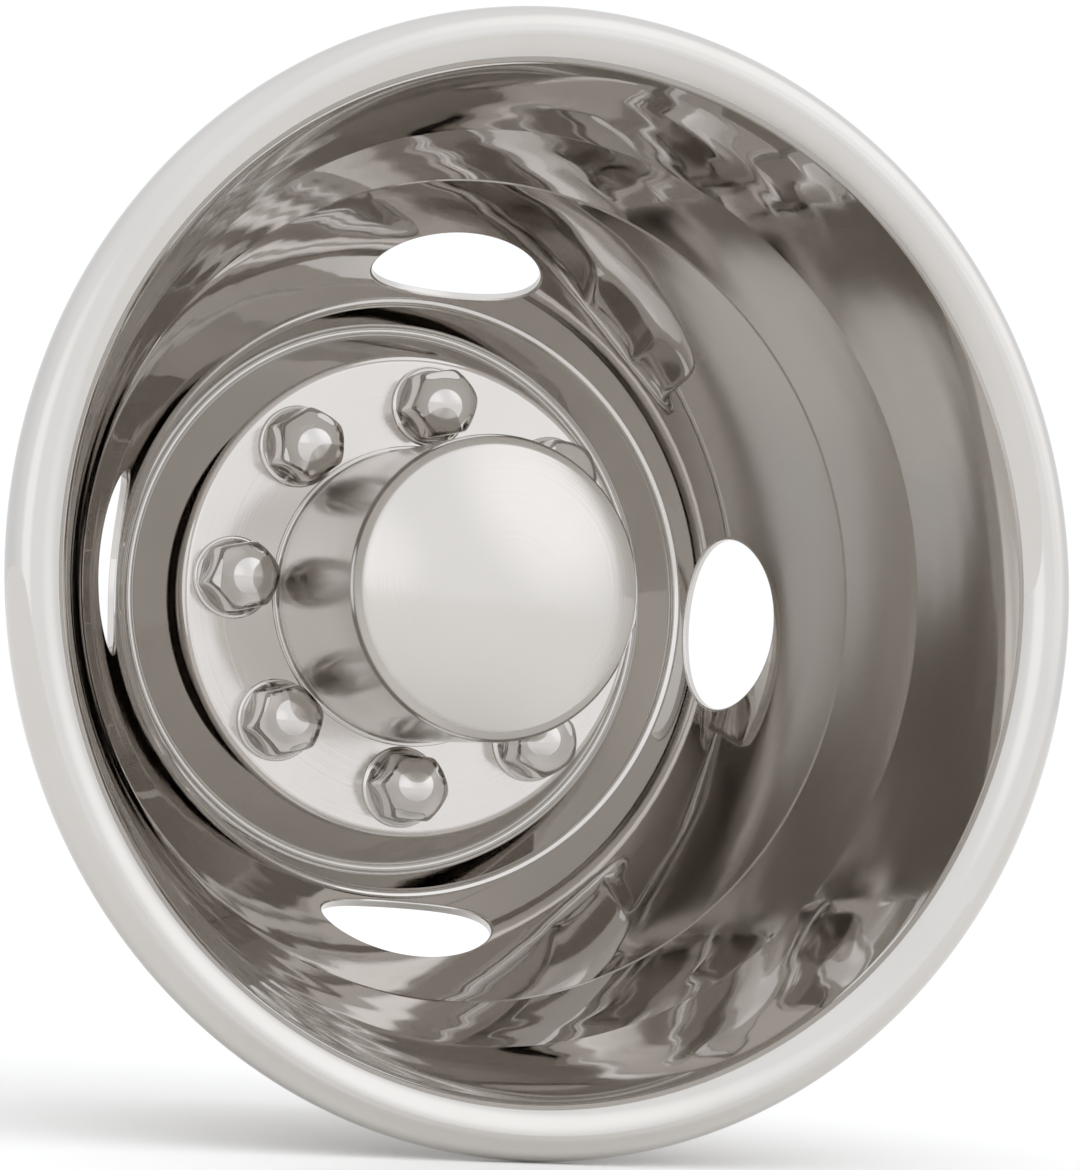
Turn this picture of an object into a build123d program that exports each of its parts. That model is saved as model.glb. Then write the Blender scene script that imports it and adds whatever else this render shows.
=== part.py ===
from build123d import *
import math
import os

os.makedirs("parts", exist_ok=True)

# Sheet metal and the wheel standard it covers, in millimetres
SHEET = 0.8
LUG_COUNT = 8
LUG_CIRCLE = 165.1
NUT_HOLE_R = 13.5
HUB_R = 62.8
# Where a spun sheet's seam lies, in degrees: clear of every hole
SEAM_TURN = 67.5

# Depths behind the lip's widest plane
PLATE_FRONT = 170.0
DISC_FRONT = PLATE_FRONT + SHEET
SEAT_DEPTH = DISC_FRONT + SHEET
DOME_FRONT = 60.0

# Liner's visible line from the hem to the hub opening: radius, depth, bend radius
LINER_LINE = [
    (216.0, 9.0, 0.0),
    (222.0, 4.0, 3.5),
    (222.0, -7.0, 9.0),
    (202.0, -7.0, 13.0),
    (183.3, 56.4, 3.0),
    (168.8, 92.1, 0.8),
    (168.2, 93.0, 1.1),
    (129.9, 177.5, 1.6),
    (126.8, 178.6, 4.0),
    (118.8, 204.5, 1.5),
    (98.6, DISC_FRONT, 2.0),
    (66.5, DISC_FRONT, 0.0),
]

# Hand holes in the cone between the fine step and the groove
CONE_TOP = LINER_LINE[6]
CONE_FOOT = LINER_LINE[7]
HAND_HOLES = 4
HOLE_DEPTH_POS = 151.4
HOLE_HALF_LENGTH = 37.6
HOLE_HALF_WIDTH = 25.1
HOLE_EDGE_TURN = 3.6
HOLE_EDGE_ROUND = 0.6
HOLE_POST = 36.0

# Lug plate with a short turned-back rim
PLATE_R = 104.6
PLATE_EDGE_ROUND = 3.8
PLATE_RIM_END = 176.0
HUB_OPENING_R = 62.8

# Hub cap
CAP_FLANGE_R = 64.9
CAP_BASE_BEND = 1.0
CAP_SHOULDER_R = 9.0
DOME_R = 150.0

# Nut covers: a hexagon under a ball-shaped top, on a round flared skirt
COVER_FLAT_HALF = 13.8
COVER_BALL_R = 17.0
COVER_BALL_UP = 11.0
COVER_WALL = 0.9
SKIRT_R = 17.5
SKIRT_EDGE = 1.0
SKIRT_NECK_R = 14.4
SKIRT_HEIGHT = 4.6
# The nuts stand at odd angles, so each cover's hexagon is turned by its own amount
COVER_TURNS = (20.0, 50.0, 15.0, 35.0, 15.0, 17.0, 58.0, 35.0)


def set_back(points, distance):
    """Corner points of the line that runs to the right of these points at this distance."""
    offset_lines = []
    for (x0, y0), (x1, y1) in zip(points[:-1], points[1:]):
        length = math.hypot(x1 - x0, y1 - y0)
        dx = (x1 - x0) / length
        dy = (y1 - y0) / length
        offset_lines.append((x0 + dy * distance, y0 - dx * distance, dx, dy))
    corners = [offset_lines[0][:2]]
    for (ax, ay, adx, ady), (bx, by, bdx, bdy) in zip(offset_lines[:-1], offset_lines[1:]):
        along = ((bx - ax) * bdy - (by - ay) * bdx) / (adx * bdy - ady * bdx)
        corners.append((ax + adx * along, ay + ady * along))
    last_x, last_y = points[-1]
    corners.append((last_x + offset_lines[-1][3] * distance, last_y - offset_lines[-1][2] * distance))
    return corners


def bends_on_back(points, bends, distance):
    """Bend radii on the back: larger where the line turns left, smaller where it turns right."""
    radii = []
    for (x0, y0), (x1, y1), (x2, y2), bend in zip(points[:-2], points[1:-1], points[2:], bends):
        turn = (x1 - x0) * (y2 - y1) - (y1 - y0) * (x2 - x1)
        radii.append(bend + distance if turn > 0 else bend - distance)
    return radii


def bent_sheet(line):
    """Ring of sheet metal whose visible face follows the line and whose back is one sheet behind it."""
    points = [(radius, depth) for radius, depth, _ in line]
    bends = [bend for _, _, bend in line[1:-1]]
    back_points = set_back(points, SHEET)
    front = FilletPolyline(*points, radius=bends)
    back = FilletPolyline(*back_points, radius=bends_on_back(points, bends, SHEET))
    ends = [Line(points[0], back_points[0]), Line(points[-1], back_points[-1])]
    section = make_face(front.edges() + back.edges() + ends)
    return Rot(0, SEAM_TURN, 0) * revolve(section, Axis.Y)


def around(count, start=0.0):
    """Angles in degrees of evenly spaced features."""
    return [start + 360.0 * index / count for index in range(count)]


def facing_front(radius, depth, angle, turn=0.0):
    """Plane on the wheel face at this radius and angle, its normal pointing to the viewer."""
    place = math.radians(angle)
    tilt = math.radians(turn)
    origin = (radius * math.cos(place), depth, radius * math.sin(place))
    return Plane(origin, x_dir=(math.cos(tilt), 0, math.sin(tilt)), z_dir=(0, -1, 0))


def nut_holes(depth):
    """Drills for the nuts, long enough for the plate and the disc behind it."""
    drill = Cylinder(NUT_HOLE_R, 8 * SHEET)
    return [facing_front(LUG_CIRCLE / 2, depth, angle) * drill for angle in around(LUG_COUNT)]


def cone_layer(reach):
    """Layer from the middle of the hand-hole cone's sheet to this distance behind its visible face."""
    line = [CONE_TOP[:2], CONE_FOOT[:2]]
    near_top, near_foot = set_back(line, SHEET / 2)
    far_top, far_foot = set_back(line, reach)
    section = make_face(Polyline(near_top, near_foot, far_foot, far_top, close=True))
    return Rot(0, SEAM_TURN, 0) * revolve(section, Axis.Y)


def hand_hole_plane(angle):
    """Plane on the cone at a hand hole, its normal pointing out of the back of the sheet."""
    top_r, top_depth, _ = CONE_TOP
    foot_r, foot_depth, _ = CONE_FOOT
    share = (HOLE_DEPTH_POS - top_depth) / (foot_depth - top_depth)
    radius = top_r + (foot_r - top_r) * share
    lean = math.atan2(top_r - foot_r, foot_depth - top_depth)
    place = math.radians(angle)
    origin = (radius * math.cos(place), HOLE_DEPTH_POS, radius * math.sin(place))
    normal = (math.cos(lean) * math.cos(place), math.sin(lean), math.cos(lean) * math.sin(place))
    tangent = (-math.sin(place), 0, math.cos(place))
    return Plane(origin, x_dir=tangent, z_dir=normal)


def oval(plane, margin):
    """Oval post along a hand hole's axis, larger than the hole by this margin."""
    outline = Ellipse(HOLE_HALF_LENGTH + margin, HOLE_HALF_WIDTH + margin)
    return plane.offset(-HOLE_POST / 2) * extrude(outline, amount=HOLE_POST)


def hand_hole_edges(liner):
    """Edges of the hand holes on the visible side, the nearer to the axis of each hole's two."""
    rims = [edge for edge in liner.edges() if edge.geom_type not in (GeomType.CIRCLE, GeomType.LINE)]
    rims.sort(key=lambda edge: math.hypot(edge.center().X, edge.center().Z))
    return rims[:HAND_HOLES]


def build_liner():
    """Dished liner with turned-back edges in its hand holes and holes for the nuts."""
    liner = bent_sheet(LINER_LINE)
    turned_layer = cone_layer(HOLE_EDGE_TURN)
    for angle in around(HAND_HOLES):
        plane = hand_hole_plane(angle)
        liner += oval(plane, SHEET) & turned_layer
        liner -= oval(plane, 0.0)
    liner = fillet(hand_hole_edges(liner), HOLE_EDGE_ROUND)
    for drill in nut_holes(DISC_FRONT):
        liner -= drill
    return liner


def build_plate():
    """Flat lug plate with its rim turned back and holes for the nuts."""
    line = [
        (PLATE_R, PLATE_RIM_END, 0.0),
        (PLATE_R, PLATE_FRONT, PLATE_EDGE_ROUND),
        (HUB_OPENING_R, PLATE_FRONT, 0.0),
    ]
    plate = bent_sheet(line)
    for drill in nut_holes(PLATE_FRONT):
        plate -= drill
    return plate


def cap_line(set_in):
    """Half section of the cap's wall and dome at this distance inside the visible face."""
    dome_centre = DOME_FRONT + DOME_R
    shoulder_r = HUB_R - CAP_SHOULDER_R
    shoulder_depth = dome_centre - math.sqrt((DOME_R - CAP_SHOULDER_R) ** 2 - shoulder_r**2)
    meet = math.degrees(math.atan2(shoulder_depth - dome_centre, shoulder_r))
    foot = PLATE_FRONT - SHEET
    bend = CAP_BASE_BEND + set_in
    wall_r = HUB_R - set_in
    bend_centre = (HUB_R + CAP_BASE_BEND, foot - CAP_BASE_BEND)
    wall_end = (wall_r, shoulder_depth)
    return [
        Line((CAP_FLANGE_R, foot + set_in), (bend_centre[0], foot + set_in)),
        CenterArc(bend_centre, bend, 90, 90),
        Line((wall_r, bend_centre[1]), wall_end),
        CenterArc((shoulder_r, shoulder_depth), CAP_SHOULDER_R - set_in, meet, -meet),
        CenterArc((0, dome_centre), DOME_R - set_in, -90, 90 + meet),
    ]


def build_cap():
    """Deep drawn hub cap with a low domed face and a narrow flange on the plate."""
    foot = PLATE_FRONT - SHEET
    flange_edge = Line((CAP_FLANGE_R, foot), (CAP_FLANGE_R, foot + SHEET))
    nose = Line((0, DOME_FRONT), (0, DOME_FRONT + SHEET))
    return revolve(make_face(cap_line(0.0) + cap_line(SHEET) + [flange_edge, nose]), Axis.Y)


def hex_under_ball(inset):
    """Hexagon post topped by a ball, both drawn in by the inset."""
    hexagon = RegularPolygon(COVER_FLAT_HALF - inset, 6, major_radius=False)
    post = extrude(hexagon, amount=COVER_BALL_UP + COVER_BALL_R)
    return post & Pos(0, 0, COVER_BALL_UP) * Sphere(COVER_BALL_R - inset)


def build_cover():
    """Hollow nut cover standing on its skirt, open at the bottom."""
    flare = RadiusArc((SKIRT_R, SKIRT_EDGE), (SKIRT_NECK_R, SKIRT_HEIGHT), SKIRT_HEIGHT)
    outline = [
        Line((0, 0), (SKIRT_R, 0)),
        Line((SKIRT_R, 0), (SKIRT_R, SKIRT_EDGE)),
        flare,
        Line((SKIRT_NECK_R, SKIRT_HEIGHT), (0, SKIRT_HEIGHT)),
        Line((0, SKIRT_HEIGHT), (0, 0)),
    ]
    skirt = revolve(Plane.XZ * make_face(outline), Axis.Z)
    return skirt + hex_under_ball(0.0) - hex_under_ball(COVER_WALL)


def place_covers():
    """Eight covers on the plate, each hexagon turned its own way."""
    cover = build_cover()
    covers = {}
    for index, angle in enumerate(around(LUG_COUNT)):
        seat = facing_front(LUG_CIRCLE / 2, PLATE_FRONT, angle, COVER_TURNS[index])
        covers[f"lug_cover_{index + 1}"] = seat * cover
    return covers


# All pieces, moved so the back of the nut-hole disc lies at the origin
pieces = {"wheel_liner": build_liner(), "lug_plate": build_plate(), "hub_cap": build_cap()}
pieces.update(place_covers())
for name, piece in pieces.items():
    export_step(Pos(0, -SEAT_DEPTH, 0) * piece, f"parts/{name}.step")
    print(name, round(piece.volume, 1), "mm3", len(piece.solids()), "solid")
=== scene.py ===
"""Dress of a dished steel cover for a dual rear wheel: bowl, nut plate, hub cap and nut covers.

Lengths in the classes are millimetres. Depths run from the lip's widest plane into the dish,
and the frame's origin lies on the back of the nut-hole disc.
"""

import logging
import math
from dataclasses import dataclass, field
from enum import Enum
from typing import Any, Sequence

import bpy
import numpy as np
from mathutils import Matrix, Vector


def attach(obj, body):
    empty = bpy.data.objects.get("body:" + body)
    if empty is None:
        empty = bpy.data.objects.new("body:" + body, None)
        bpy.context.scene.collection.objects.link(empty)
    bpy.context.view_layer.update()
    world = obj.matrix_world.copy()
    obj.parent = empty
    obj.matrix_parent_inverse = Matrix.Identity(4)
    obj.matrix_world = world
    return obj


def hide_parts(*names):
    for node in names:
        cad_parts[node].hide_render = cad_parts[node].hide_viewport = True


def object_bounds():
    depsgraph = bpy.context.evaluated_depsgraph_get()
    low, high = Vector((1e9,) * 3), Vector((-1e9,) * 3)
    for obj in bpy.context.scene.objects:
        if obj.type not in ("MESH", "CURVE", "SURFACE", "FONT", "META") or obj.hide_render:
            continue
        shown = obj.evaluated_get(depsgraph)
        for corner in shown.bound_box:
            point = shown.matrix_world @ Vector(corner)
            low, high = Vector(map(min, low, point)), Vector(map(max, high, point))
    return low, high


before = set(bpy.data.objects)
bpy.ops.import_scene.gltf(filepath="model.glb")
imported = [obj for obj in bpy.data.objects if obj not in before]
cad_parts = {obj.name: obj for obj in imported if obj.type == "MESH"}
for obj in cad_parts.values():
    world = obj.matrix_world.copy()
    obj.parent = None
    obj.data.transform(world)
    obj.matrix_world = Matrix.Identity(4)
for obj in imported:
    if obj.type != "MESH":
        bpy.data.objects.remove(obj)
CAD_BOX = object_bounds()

LOG = logging.getLogger("wheel_cover")
# Metres in a millimetre
MM = 0.001
# Depth of the nut-hole disc's back, where the frame's origin lies
SEAT_DEPTH = 171.6
# Thickness of bowl, plate and cap
SHEET = 0.8
# Columns of every ring about the wheel axis
AROUND = 256
# Largest turn between two samples of a bend, and the fewest steps in one
ARC_STEP = math.radians(8.0)
BEND_STEPS = 3
# Fewest steps in a long arc, and how much finer they are than in a bend
ARC_STEPS = 4
ARC_FINENESS = 2
# Steps across a half-round sheet edge
EDGE_STEPS = 6
# Points nearer than this many metres are one; the shift keeps them off the rounding's own edges
WELD = 1e-6
WELD_SHIFT = 0.271
# Keep a slope and a normal defined where a row shrinks to a point
TINY_SLOPE = 1e-6
TINY_NORMAL = 1e-12
# Radius at which a sheet's waves have their stated length
WAVE_CIRCLE = 160.0
# Size of the hazy patches that buffing leaves, and the noise levels where haze starts and is full
PATCH_SIZE = 45.0
HAZE_START = 0.15
HAZE_FULL = 0.45
# Colour sockets of a mix node: the two inputs and the result
MIX_A, MIX_B, MIX_RESULT = 6, 7, 2


class Side(Enum):
    """Which skin of a sheet is meant."""

    FRONT = 1
    BACK = -1


@dataclass
class Section:
    """Half section of a skin: points as radius and depth, and the outward normal at each."""

    points: np.ndarray
    normals: np.ndarray

    def __add__(self, other: "Section") -> "Section":
        """Joins two stretches end to end."""
        return Section(np.vstack([self.points, other.points]), np.vstack([self.normals, other.normals]))

    def turned_round(self) -> "Section":
        """The same stretch followed the other way."""
        return Section(self.points[::-1], self.normals[::-1])

    def behind(self, gap: float) -> "Section":
        """The far skin of a sheet of this thickness, with its normals outward."""
        return Section(self.points - gap * self.normals, -self.normals)

    def end_round(self, thickness: float) -> "Section":
        """Half-round sheet edge after the last point.

        Args:
            thickness: Thickness of the sheet.

        Returns:
            The edge from the near skin to the far one.
        """
        point, normal = self.points[-1], self.normals[-1]
        onward = np.array([normal[1], -normal[0]])
        turns = np.radians(np.linspace(0.0, 180.0, EDGE_STEPS + 1)[1:-1])
        normals = np.cos(turns)[:, None] * normal + np.sin(turns)[:, None] * onward
        return Section(point - normal * thickness / 2 + normals * thickness / 2, normals)


def trace(line: Sequence[tuple[float, float, float]]) -> Section:
    """Follows straight runs with rounded corners, the visible side on the left.

    Args:
        line: Corners as radius, depth and bend radius.

    Returns:
        The skin's section, with samples only where it bends.
    """
    corners = np.array([(radius, depth) for radius, depth, _ in line], float)
    runs = np.diff(corners, axis=0)
    headings = np.unwrap(np.arctan2(runs[:, 1], runs[:, 0]))

    def left(heading: np.ndarray) -> np.ndarray:
        """Normal on the left of a heading."""
        return np.stack([-np.sin(heading), np.cos(heading)], axis=-1)

    points = [corners[:1]]
    normals = [left(headings[:1])]
    for index in range(1, len(line) - 1):
        before, after = headings[index - 1], headings[index]
        bend, turn = line[index][2], after - before
        run_in = bend * math.tan(abs(turn) / 2)
        start = corners[index] - run_in * np.array([math.cos(before), math.sin(before)])
        side = math.copysign(bend, turn)
        centre = start + side * left(np.array(before))
        steps = max(BEND_STEPS, math.ceil(abs(turn) / ARC_STEP))
        arc = left(np.linspace(before, after, steps + 1))
        points.append(centre - side * arc)
        normals.append(arc)
    points.append(corners[-1:])
    normals.append(left(headings[-1:]))
    return Section(np.vstack(points), np.vstack(normals))


def arc_section(centre: tuple[float, float], radius: float, start: float, stop: float, hollow: bool) -> Section:
    """Round stretch of a section.

    Args:
        centre: Radius and depth of the arc's centre.
        radius: Arc radius.
        start: First angle in degrees.
        stop: Last angle in degrees.
        hollow: True where the visible side faces the centre.

    Returns:
        The stretch, sampled along its length.
    """
    steps = max(ARC_STEPS, math.ceil(abs(math.radians(stop - start)) / ARC_STEP * ARC_FINENESS))
    angles = np.radians(np.linspace(start, stop, steps + 1))
    outward = np.stack([np.cos(angles), np.sin(angles)], axis=-1)
    return Section(np.array(centre) + radius * outward, -outward if hollow else outward)


def spin(section: Section, angles: np.ndarray) -> tuple[np.ndarray, np.ndarray]:
    """Turns a section about the wheel axis.

    Args:
        section: Points and normals as radius and depth.
        angles: Angles in radians.

    Returns:
        Grids of points in millimetres and of normals, one row per section point.
    """
    cos, sin = np.cos(angles), np.sin(angles)

    def turned(pairs: np.ndarray) -> np.ndarray:
        """Pairs of radius and depth at every angle."""
        radial, depth = pairs[:, :1], pairs[:, 1:]
        return np.stack([radial * cos, depth + 0 * cos, radial * sin], axis=-1)

    return turned(section.points), turned(section.normals)


def turn_about_axis(vectors: np.ndarray, angle: float) -> np.ndarray:
    """Turns points or normals about the wheel axis.

    Args:
        vectors: Points or normals.
        angle: Angle in radians.

    Returns:
        The turned points or normals.
    """
    x, y, z = vectors[..., 0], vectors[..., 1], vectors[..., 2]
    cos, sin = math.cos(angle), math.sin(angle)
    return np.stack([x * cos - z * sin, y, x * sin + z * cos], axis=-1)


def unit(vectors: np.ndarray) -> np.ndarray:
    """Vectors of length one."""
    return vectors / np.linalg.norm(vectors, axis=-1, keepdims=True)


class Skin:
    """Collects closed rings of points with exact normals and welds them into one smooth mesh."""

    def __init__(self) -> None:
        """Starts with nothing collected."""
        self._points: list[np.ndarray] = []
        self._normals: list[np.ndarray] = []
        self._quads: list[np.ndarray] = []
        self._count = 0

    def add(self, points: np.ndarray, normals: np.ndarray, gaps: Sequence[int] = ()) -> None:
        """Adds rings of points joined row to row.

        Args:
            points: Grid of rows, columns and coordinates, in millimetres from the lip plane.
            normals: Outward normals on the same grid.
            gaps: Rows that aren't joined to the next row.
        """
        rows, columns = points.shape[:2]
        index = self._count + np.arange(rows * columns).reshape(rows, columns)
        keep = [row for row in range(rows - 1) if row not in set(gaps)]
        here, below = index[keep], index[[row + 1 for row in keep]]
        quads = np.stack([here, np.roll(here, -1, 1), np.roll(below, -1, 1), below], axis=-1)
        self._points.append(points.reshape(-1, 3))
        self._normals.append(normals.reshape(-1, 3))
        self._quads.append(quads.reshape(-1, 4))
        self._count += rows * columns

    def mesh(self, name: str) -> bpy.types.Mesh:
        """Welds what was added.

        Args:
            name: Name of the mesh.

        Returns:
            A closed mesh in the frame's metres, smooth, with its exact normals.
        """
        points = (np.vstack(self._points) - np.array([0.0, SEAT_DEPTH, 0.0])) * MM
        normals = unit(np.vstack(self._normals))
        _, first, owner = np.unique(
            np.round(points / WELD + WELD_SHIFT).astype(np.int64), axis=0, return_index=True, return_inverse=True)
        quads = owner.reshape(-1)[np.vstack(self._quads)]
        points, normals = points[first], normals[first]
        across = np.cross(points[quads[:, 2]] - points[quads[:, 0]], points[quads[:, 3]] - points[quads[:, 1]])
        inward = np.einsum("ij,ij->i", across, normals[quads].sum(axis=1)) < 0
        quads[inward] = quads[inward][:, ::-1]
        faces = [list(dict.fromkeys(quad)) for quad in quads.tolist()]
        mesh = bpy.data.meshes.new(name)
        mesh.from_pydata(points.tolist(), [], [face for face in faces if len(face) > 2])
        mesh.polygons.foreach_set("use_smooth", [True] * len(mesh.polygons))
        mesh.normals_split_custom_set_from_vertices(normals.tolist())
        mesh.update()
        return mesh


@dataclass
class PiercedBand:
    """Straight run of a section between two rings, with evenly spaced holes.

    Attributes:
        outer: Radius and depth of the larger ring.
        inner: Radius and depth of the smaller ring.
        normal: Outward normal as radius and depth.
        holes: Number of holes.
        centre_r: Radius of the hole centres.
        half_sizes: Half length around the wheel and half width along the run.
        side_steps: Cells along the run between two holes.
        steps: Cells from a hole's edge to its field's border.
    """

    outer: np.ndarray
    inner: np.ndarray
    normal: np.ndarray
    holes: int
    centre_r: float
    half_sizes: tuple[float, float]
    side_steps: int = 12
    steps: int = 8

    def border(self) -> np.ndarray:
        """Points around one hole's field.

        Returns:
            Angle and radius of each point, in order.
        """
        half = math.pi / self.holes
        across = AROUND // self.holes
        angles = np.linspace(-half, half, across + 1)
        radii = np.linspace(self.outer[0], self.inner[0], self.side_steps + 1)
        top = np.stack([angles[:-1], np.full(across, self.outer[0])], -1)
        right = np.stack([np.full(self.side_steps, half), radii[:-1]], -1)
        foot = np.stack([angles[:0:-1], np.full(across, self.inner[0])], -1)
        left = np.stack([np.full(self.side_steps, -half), radii[:0:-1]], -1)
        return np.vstack([top, right, foot, left])

    def bearings(self) -> np.ndarray:
        """Direction from the hole's centre to each border point.

        Returns:
            Angles on the hole's own oval.
        """
        slope = np.linalg.norm(self.outer - self.inner) / (self.outer[0] - self.inner[0])
        border = self.border()
        along = (border[:, 1] - self.centre_r) * slope / self.half_sizes[1]
        around = border[:, 0] * self.centre_r / self.half_sizes[0]
        return np.arctan2(along, around)

    def field(self, edge: np.ndarray) -> tuple[np.ndarray, np.ndarray]:
        """Sheet around one hole.

        Args:
            edge: Angle and radius of the hole's edge at each bearing.

        Returns:
            Grids of points and normals from the hole's edge to the field's border.
        """
        share = np.linspace(0.0, 1.0, self.steps + 1)[:, None, None]
        polar = edge + (self.border() - edge) * share
        angle, radius = polar[..., 0], polar[..., 1]
        run = (radius - self.inner[0]) / (self.outer[0] - self.inner[0])
        depth = self.inner[1] + (self.outer[1] - self.inner[1]) * run
        points = np.stack([radius * np.cos(angle), depth, radius * np.sin(angle)], -1)
        normals = np.stack([
            self.normal[0] * np.cos(angle), np.full_like(angle, self.normal[1]), self.normal[0] * np.sin(angle)], -1)
        return points, normals


def linear(code: str) -> tuple[float, float, float, float]:
    """Linear colour with full alpha from an sRGB hex code."""
    parts = [int(code[start:start + 2], 16) / 255 for start in (1, 3, 5)]
    return (*[part / 12.92 if part <= 0.04045 else ((part + 0.055) / 1.055) ** 2.4 for part in parts], 1.0)


def add_node(
        tree: bpy.types.NodeTree, kind: str, inputs: dict[Any, Any] | None = None,
        **settings: Any) -> bpy.types.Node:
    """Adds a node with its settings and links.

    Args:
        tree: Tree that gets the node.
        kind: Node type.
        inputs: Values or output sockets by input name or number.
        settings: Node properties.

    Returns:
        The new node.
    """
    node = tree.nodes.new(kind)
    for name, value in settings.items():
        setattr(node, name, value)
    for name, value in (inputs or {}).items():
        if isinstance(value, bpy.types.NodeSocket):
            tree.links.new(value, node.inputs[name])
        else:
            node.inputs[name].default_value = value
    return node


def bare_tree(block: bpy.types.Material | bpy.types.World) -> bpy.types.NodeTree:
    """Switches a material or world to nodes and empties its tree.

    Args:
        block: Material or world.

    Returns:
        Its empty tree.
    """
    block.use_nodes = True
    block.node_tree.nodes.clear()
    return block.node_tree


@dataclass(frozen=True)
class MirrorSteel:
    """Stainless sheet, spun or drawn, then buffed to a mirror.

    The eye sees clear reflections in a warm grey metal, bent a little by the sheet's own waves,
    and faint rings left by the buffing wheel.

    Attributes:
        name: Material name.
        bright: Colour of freshly buffed metal.
        dull: Colour where the buffing left a haze.
        gloss: Roughness of the clear mirror.
        haze: Roughness of the hazy patches.
        ring_pitch: Distance between buffing rings, drawn coarser than real ones so that they show.
        ring_height: Height of the rings.
        wave_length: Length of the sheet's waves around the wheel.
        wave_width: Width of the waves along the axis.
        wave_height: Height of the waves.
    """

    name: str
    bright: str
    dull: str
    gloss: float
    haze: float
    ring_pitch: float
    ring_height: float
    wave_length: float
    wave_width: float
    wave_height: float

    def material(self) -> bpy.types.Material:
        """Builds the node material.

        Returns:
            The material, with its patterns on the piece's own coordinates.
        """
        material = bpy.data.materials.new(self.name)
        tree = bare_tree(material)
        place = add_node(tree, "ShaderNodeTexCoord").outputs["Object"]
        flat = add_node(tree, "ShaderNodeVectorMath", {0: place, 1: (1.0, 0.0, 1.0)}, operation="MULTIPLY")
        radius = add_node(tree, "ShaderNodeVectorMath", {0: flat.outputs[0]}, operation="LENGTH").outputs["Value"]
        rings = add_node(tree, "ShaderNodeTexNoise", {
            "W": radius, "Scale": 1 / (self.ring_pitch * MM), "Detail": 2.0, "Roughness": 0.6}, noise_dimensions="1D")
        patches = add_node(tree, "ShaderNodeTexNoise", {
            "Vector": place, "Scale": 1 / (PATCH_SIZE * MM), "Detail": 3.0, "Roughness": 0.55}, noise_dimensions="3D")
        around = add_node(tree, "ShaderNodeVectorMath", {0: flat.outputs[0]}, operation="NORMALIZE").outputs[0]
        bearing = add_node(tree, "ShaderNodeVectorMath", {
            0: around, "Scale": WAVE_CIRCLE / self.wave_length}, operation="SCALE").outputs[0]
        lane = add_node(tree, "ShaderNodeVectorMath", {
            0: place, 1: (0.0, 1 / (self.wave_width * MM), 0.0)}, operation="MULTIPLY").outputs[0]
        sheet = add_node(tree, "ShaderNodeVectorMath", {0: bearing, 1: lane}, operation="ADD").outputs[0]
        waves = add_node(tree, "ShaderNodeTexNoise", {
            "Vector": sheet, "Scale": 1.0, "Detail": 1.0}, noise_dimensions="3D")
        colour = add_node(tree, "ShaderNodeMix", {
            "Factor": patches.outputs["Fac"], MIX_A: linear(self.bright), MIX_B: linear(self.dull)}, data_type="RGBA")
        shine = add_node(tree, "ShaderNodeMath", {
            0: patches.outputs["Fac"], 1: rings.outputs["Fac"]}, operation="MULTIPLY")
        rough = add_node(tree, "ShaderNodeMapRange", {
            "Value": shine.outputs[0], "From Min": HAZE_START, "From Max": HAZE_FULL,
            "To Min": self.gloss, "To Max": self.haze})
        sway = add_node(tree, "ShaderNodeBump", {
            "Height": waves.outputs["Fac"], "Distance": self.wave_height * MM, "Strength": 1.0})
        scored = add_node(tree, "ShaderNodeBump", {
            "Height": rings.outputs["Fac"], "Distance": self.ring_height * MM, "Strength": 1.0,
            "Normal": sway.outputs["Normal"]})
        shader = add_node(tree, "ShaderNodeBsdfPrincipled", {
            "Base Color": colour.outputs[MIX_RESULT], "Metallic": 1.0, "Roughness": rough.outputs["Result"],
            "Normal": scored.outputs["Normal"]})
        add_node(tree, "ShaderNodeOutputMaterial", {"Surface": shader.outputs["BSDF"]})
        return material


# Spun on a former and buffed on the lathe: a clear mirror that long waves bend
LINER_STEEL = MirrorSteel(
    name="stainless_spun_buffed", bright="#cdcac6", dull="#c7c3bf", gloss=0.02, haze=0.05,
    ring_pitch=1.6, ring_height=0.0004, wave_length=480.0, wave_width=22.0, wave_height=0.24)
# Flat sheet buffed after cutting: soft images of the nut covers
PLATE_STEEL = MirrorSteel(
    name="stainless_flat_buffed", bright="#d2cdc9", dull="#ccc7c3", gloss=0.10, haze=0.22,
    ring_pitch=1.2, ring_height=0.0006, wave_length=90.0, wave_width=30.0, wave_height=0.03)
# Deep drawn, then buffed over the dome: a smooth glow without hard edges
CAP_STEEL = MirrorSteel(
    name="stainless_drawn_buffed", bright="#cdc9c5", dull="#c8c4bf", gloss=0.14, haze=0.24,
    ring_pitch=1.4, ring_height=0.0004, wave_length=90.0, wave_width=40.0, wave_height=0.03)
# Pressed over a hexagon and polished: small clear mirrors
COVER_STEEL = MirrorSteel(
    name="stainless_pressed_bright", bright="#cbc7c4", dull="#c5c1bd", gloss=0.06, haze=0.12,
    ring_pitch=1.0, ring_height=0.0002, wave_length=60.0, wave_width=25.0, wave_height=0.01)


def dress(
        mesh: bpy.types.Mesh, name: str, finish: MirrorSteel | None,
        nodes: Sequence[str]) -> bpy.types.Object:
    """Places a finished mesh in the frame.

    Args:
        mesh: Mesh in the frame's metres.
        name: Name of the piece.
        finish: Its finish, or None where the mesh already has its material.
        nodes: Solids that the piece stands for.

    Returns:
        The piece, riding on the frame.
    """
    piece = bpy.data.objects.new(name, mesh)
    bpy.context.scene.collection.objects.link(piece)
    if finish is not None:
        mesh.materials.append(finish.material())
    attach(piece, "root")
    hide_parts(*nodes)
    LOG.info("%s: %d faces", name, len(mesh.polygons))
    return piece


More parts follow.
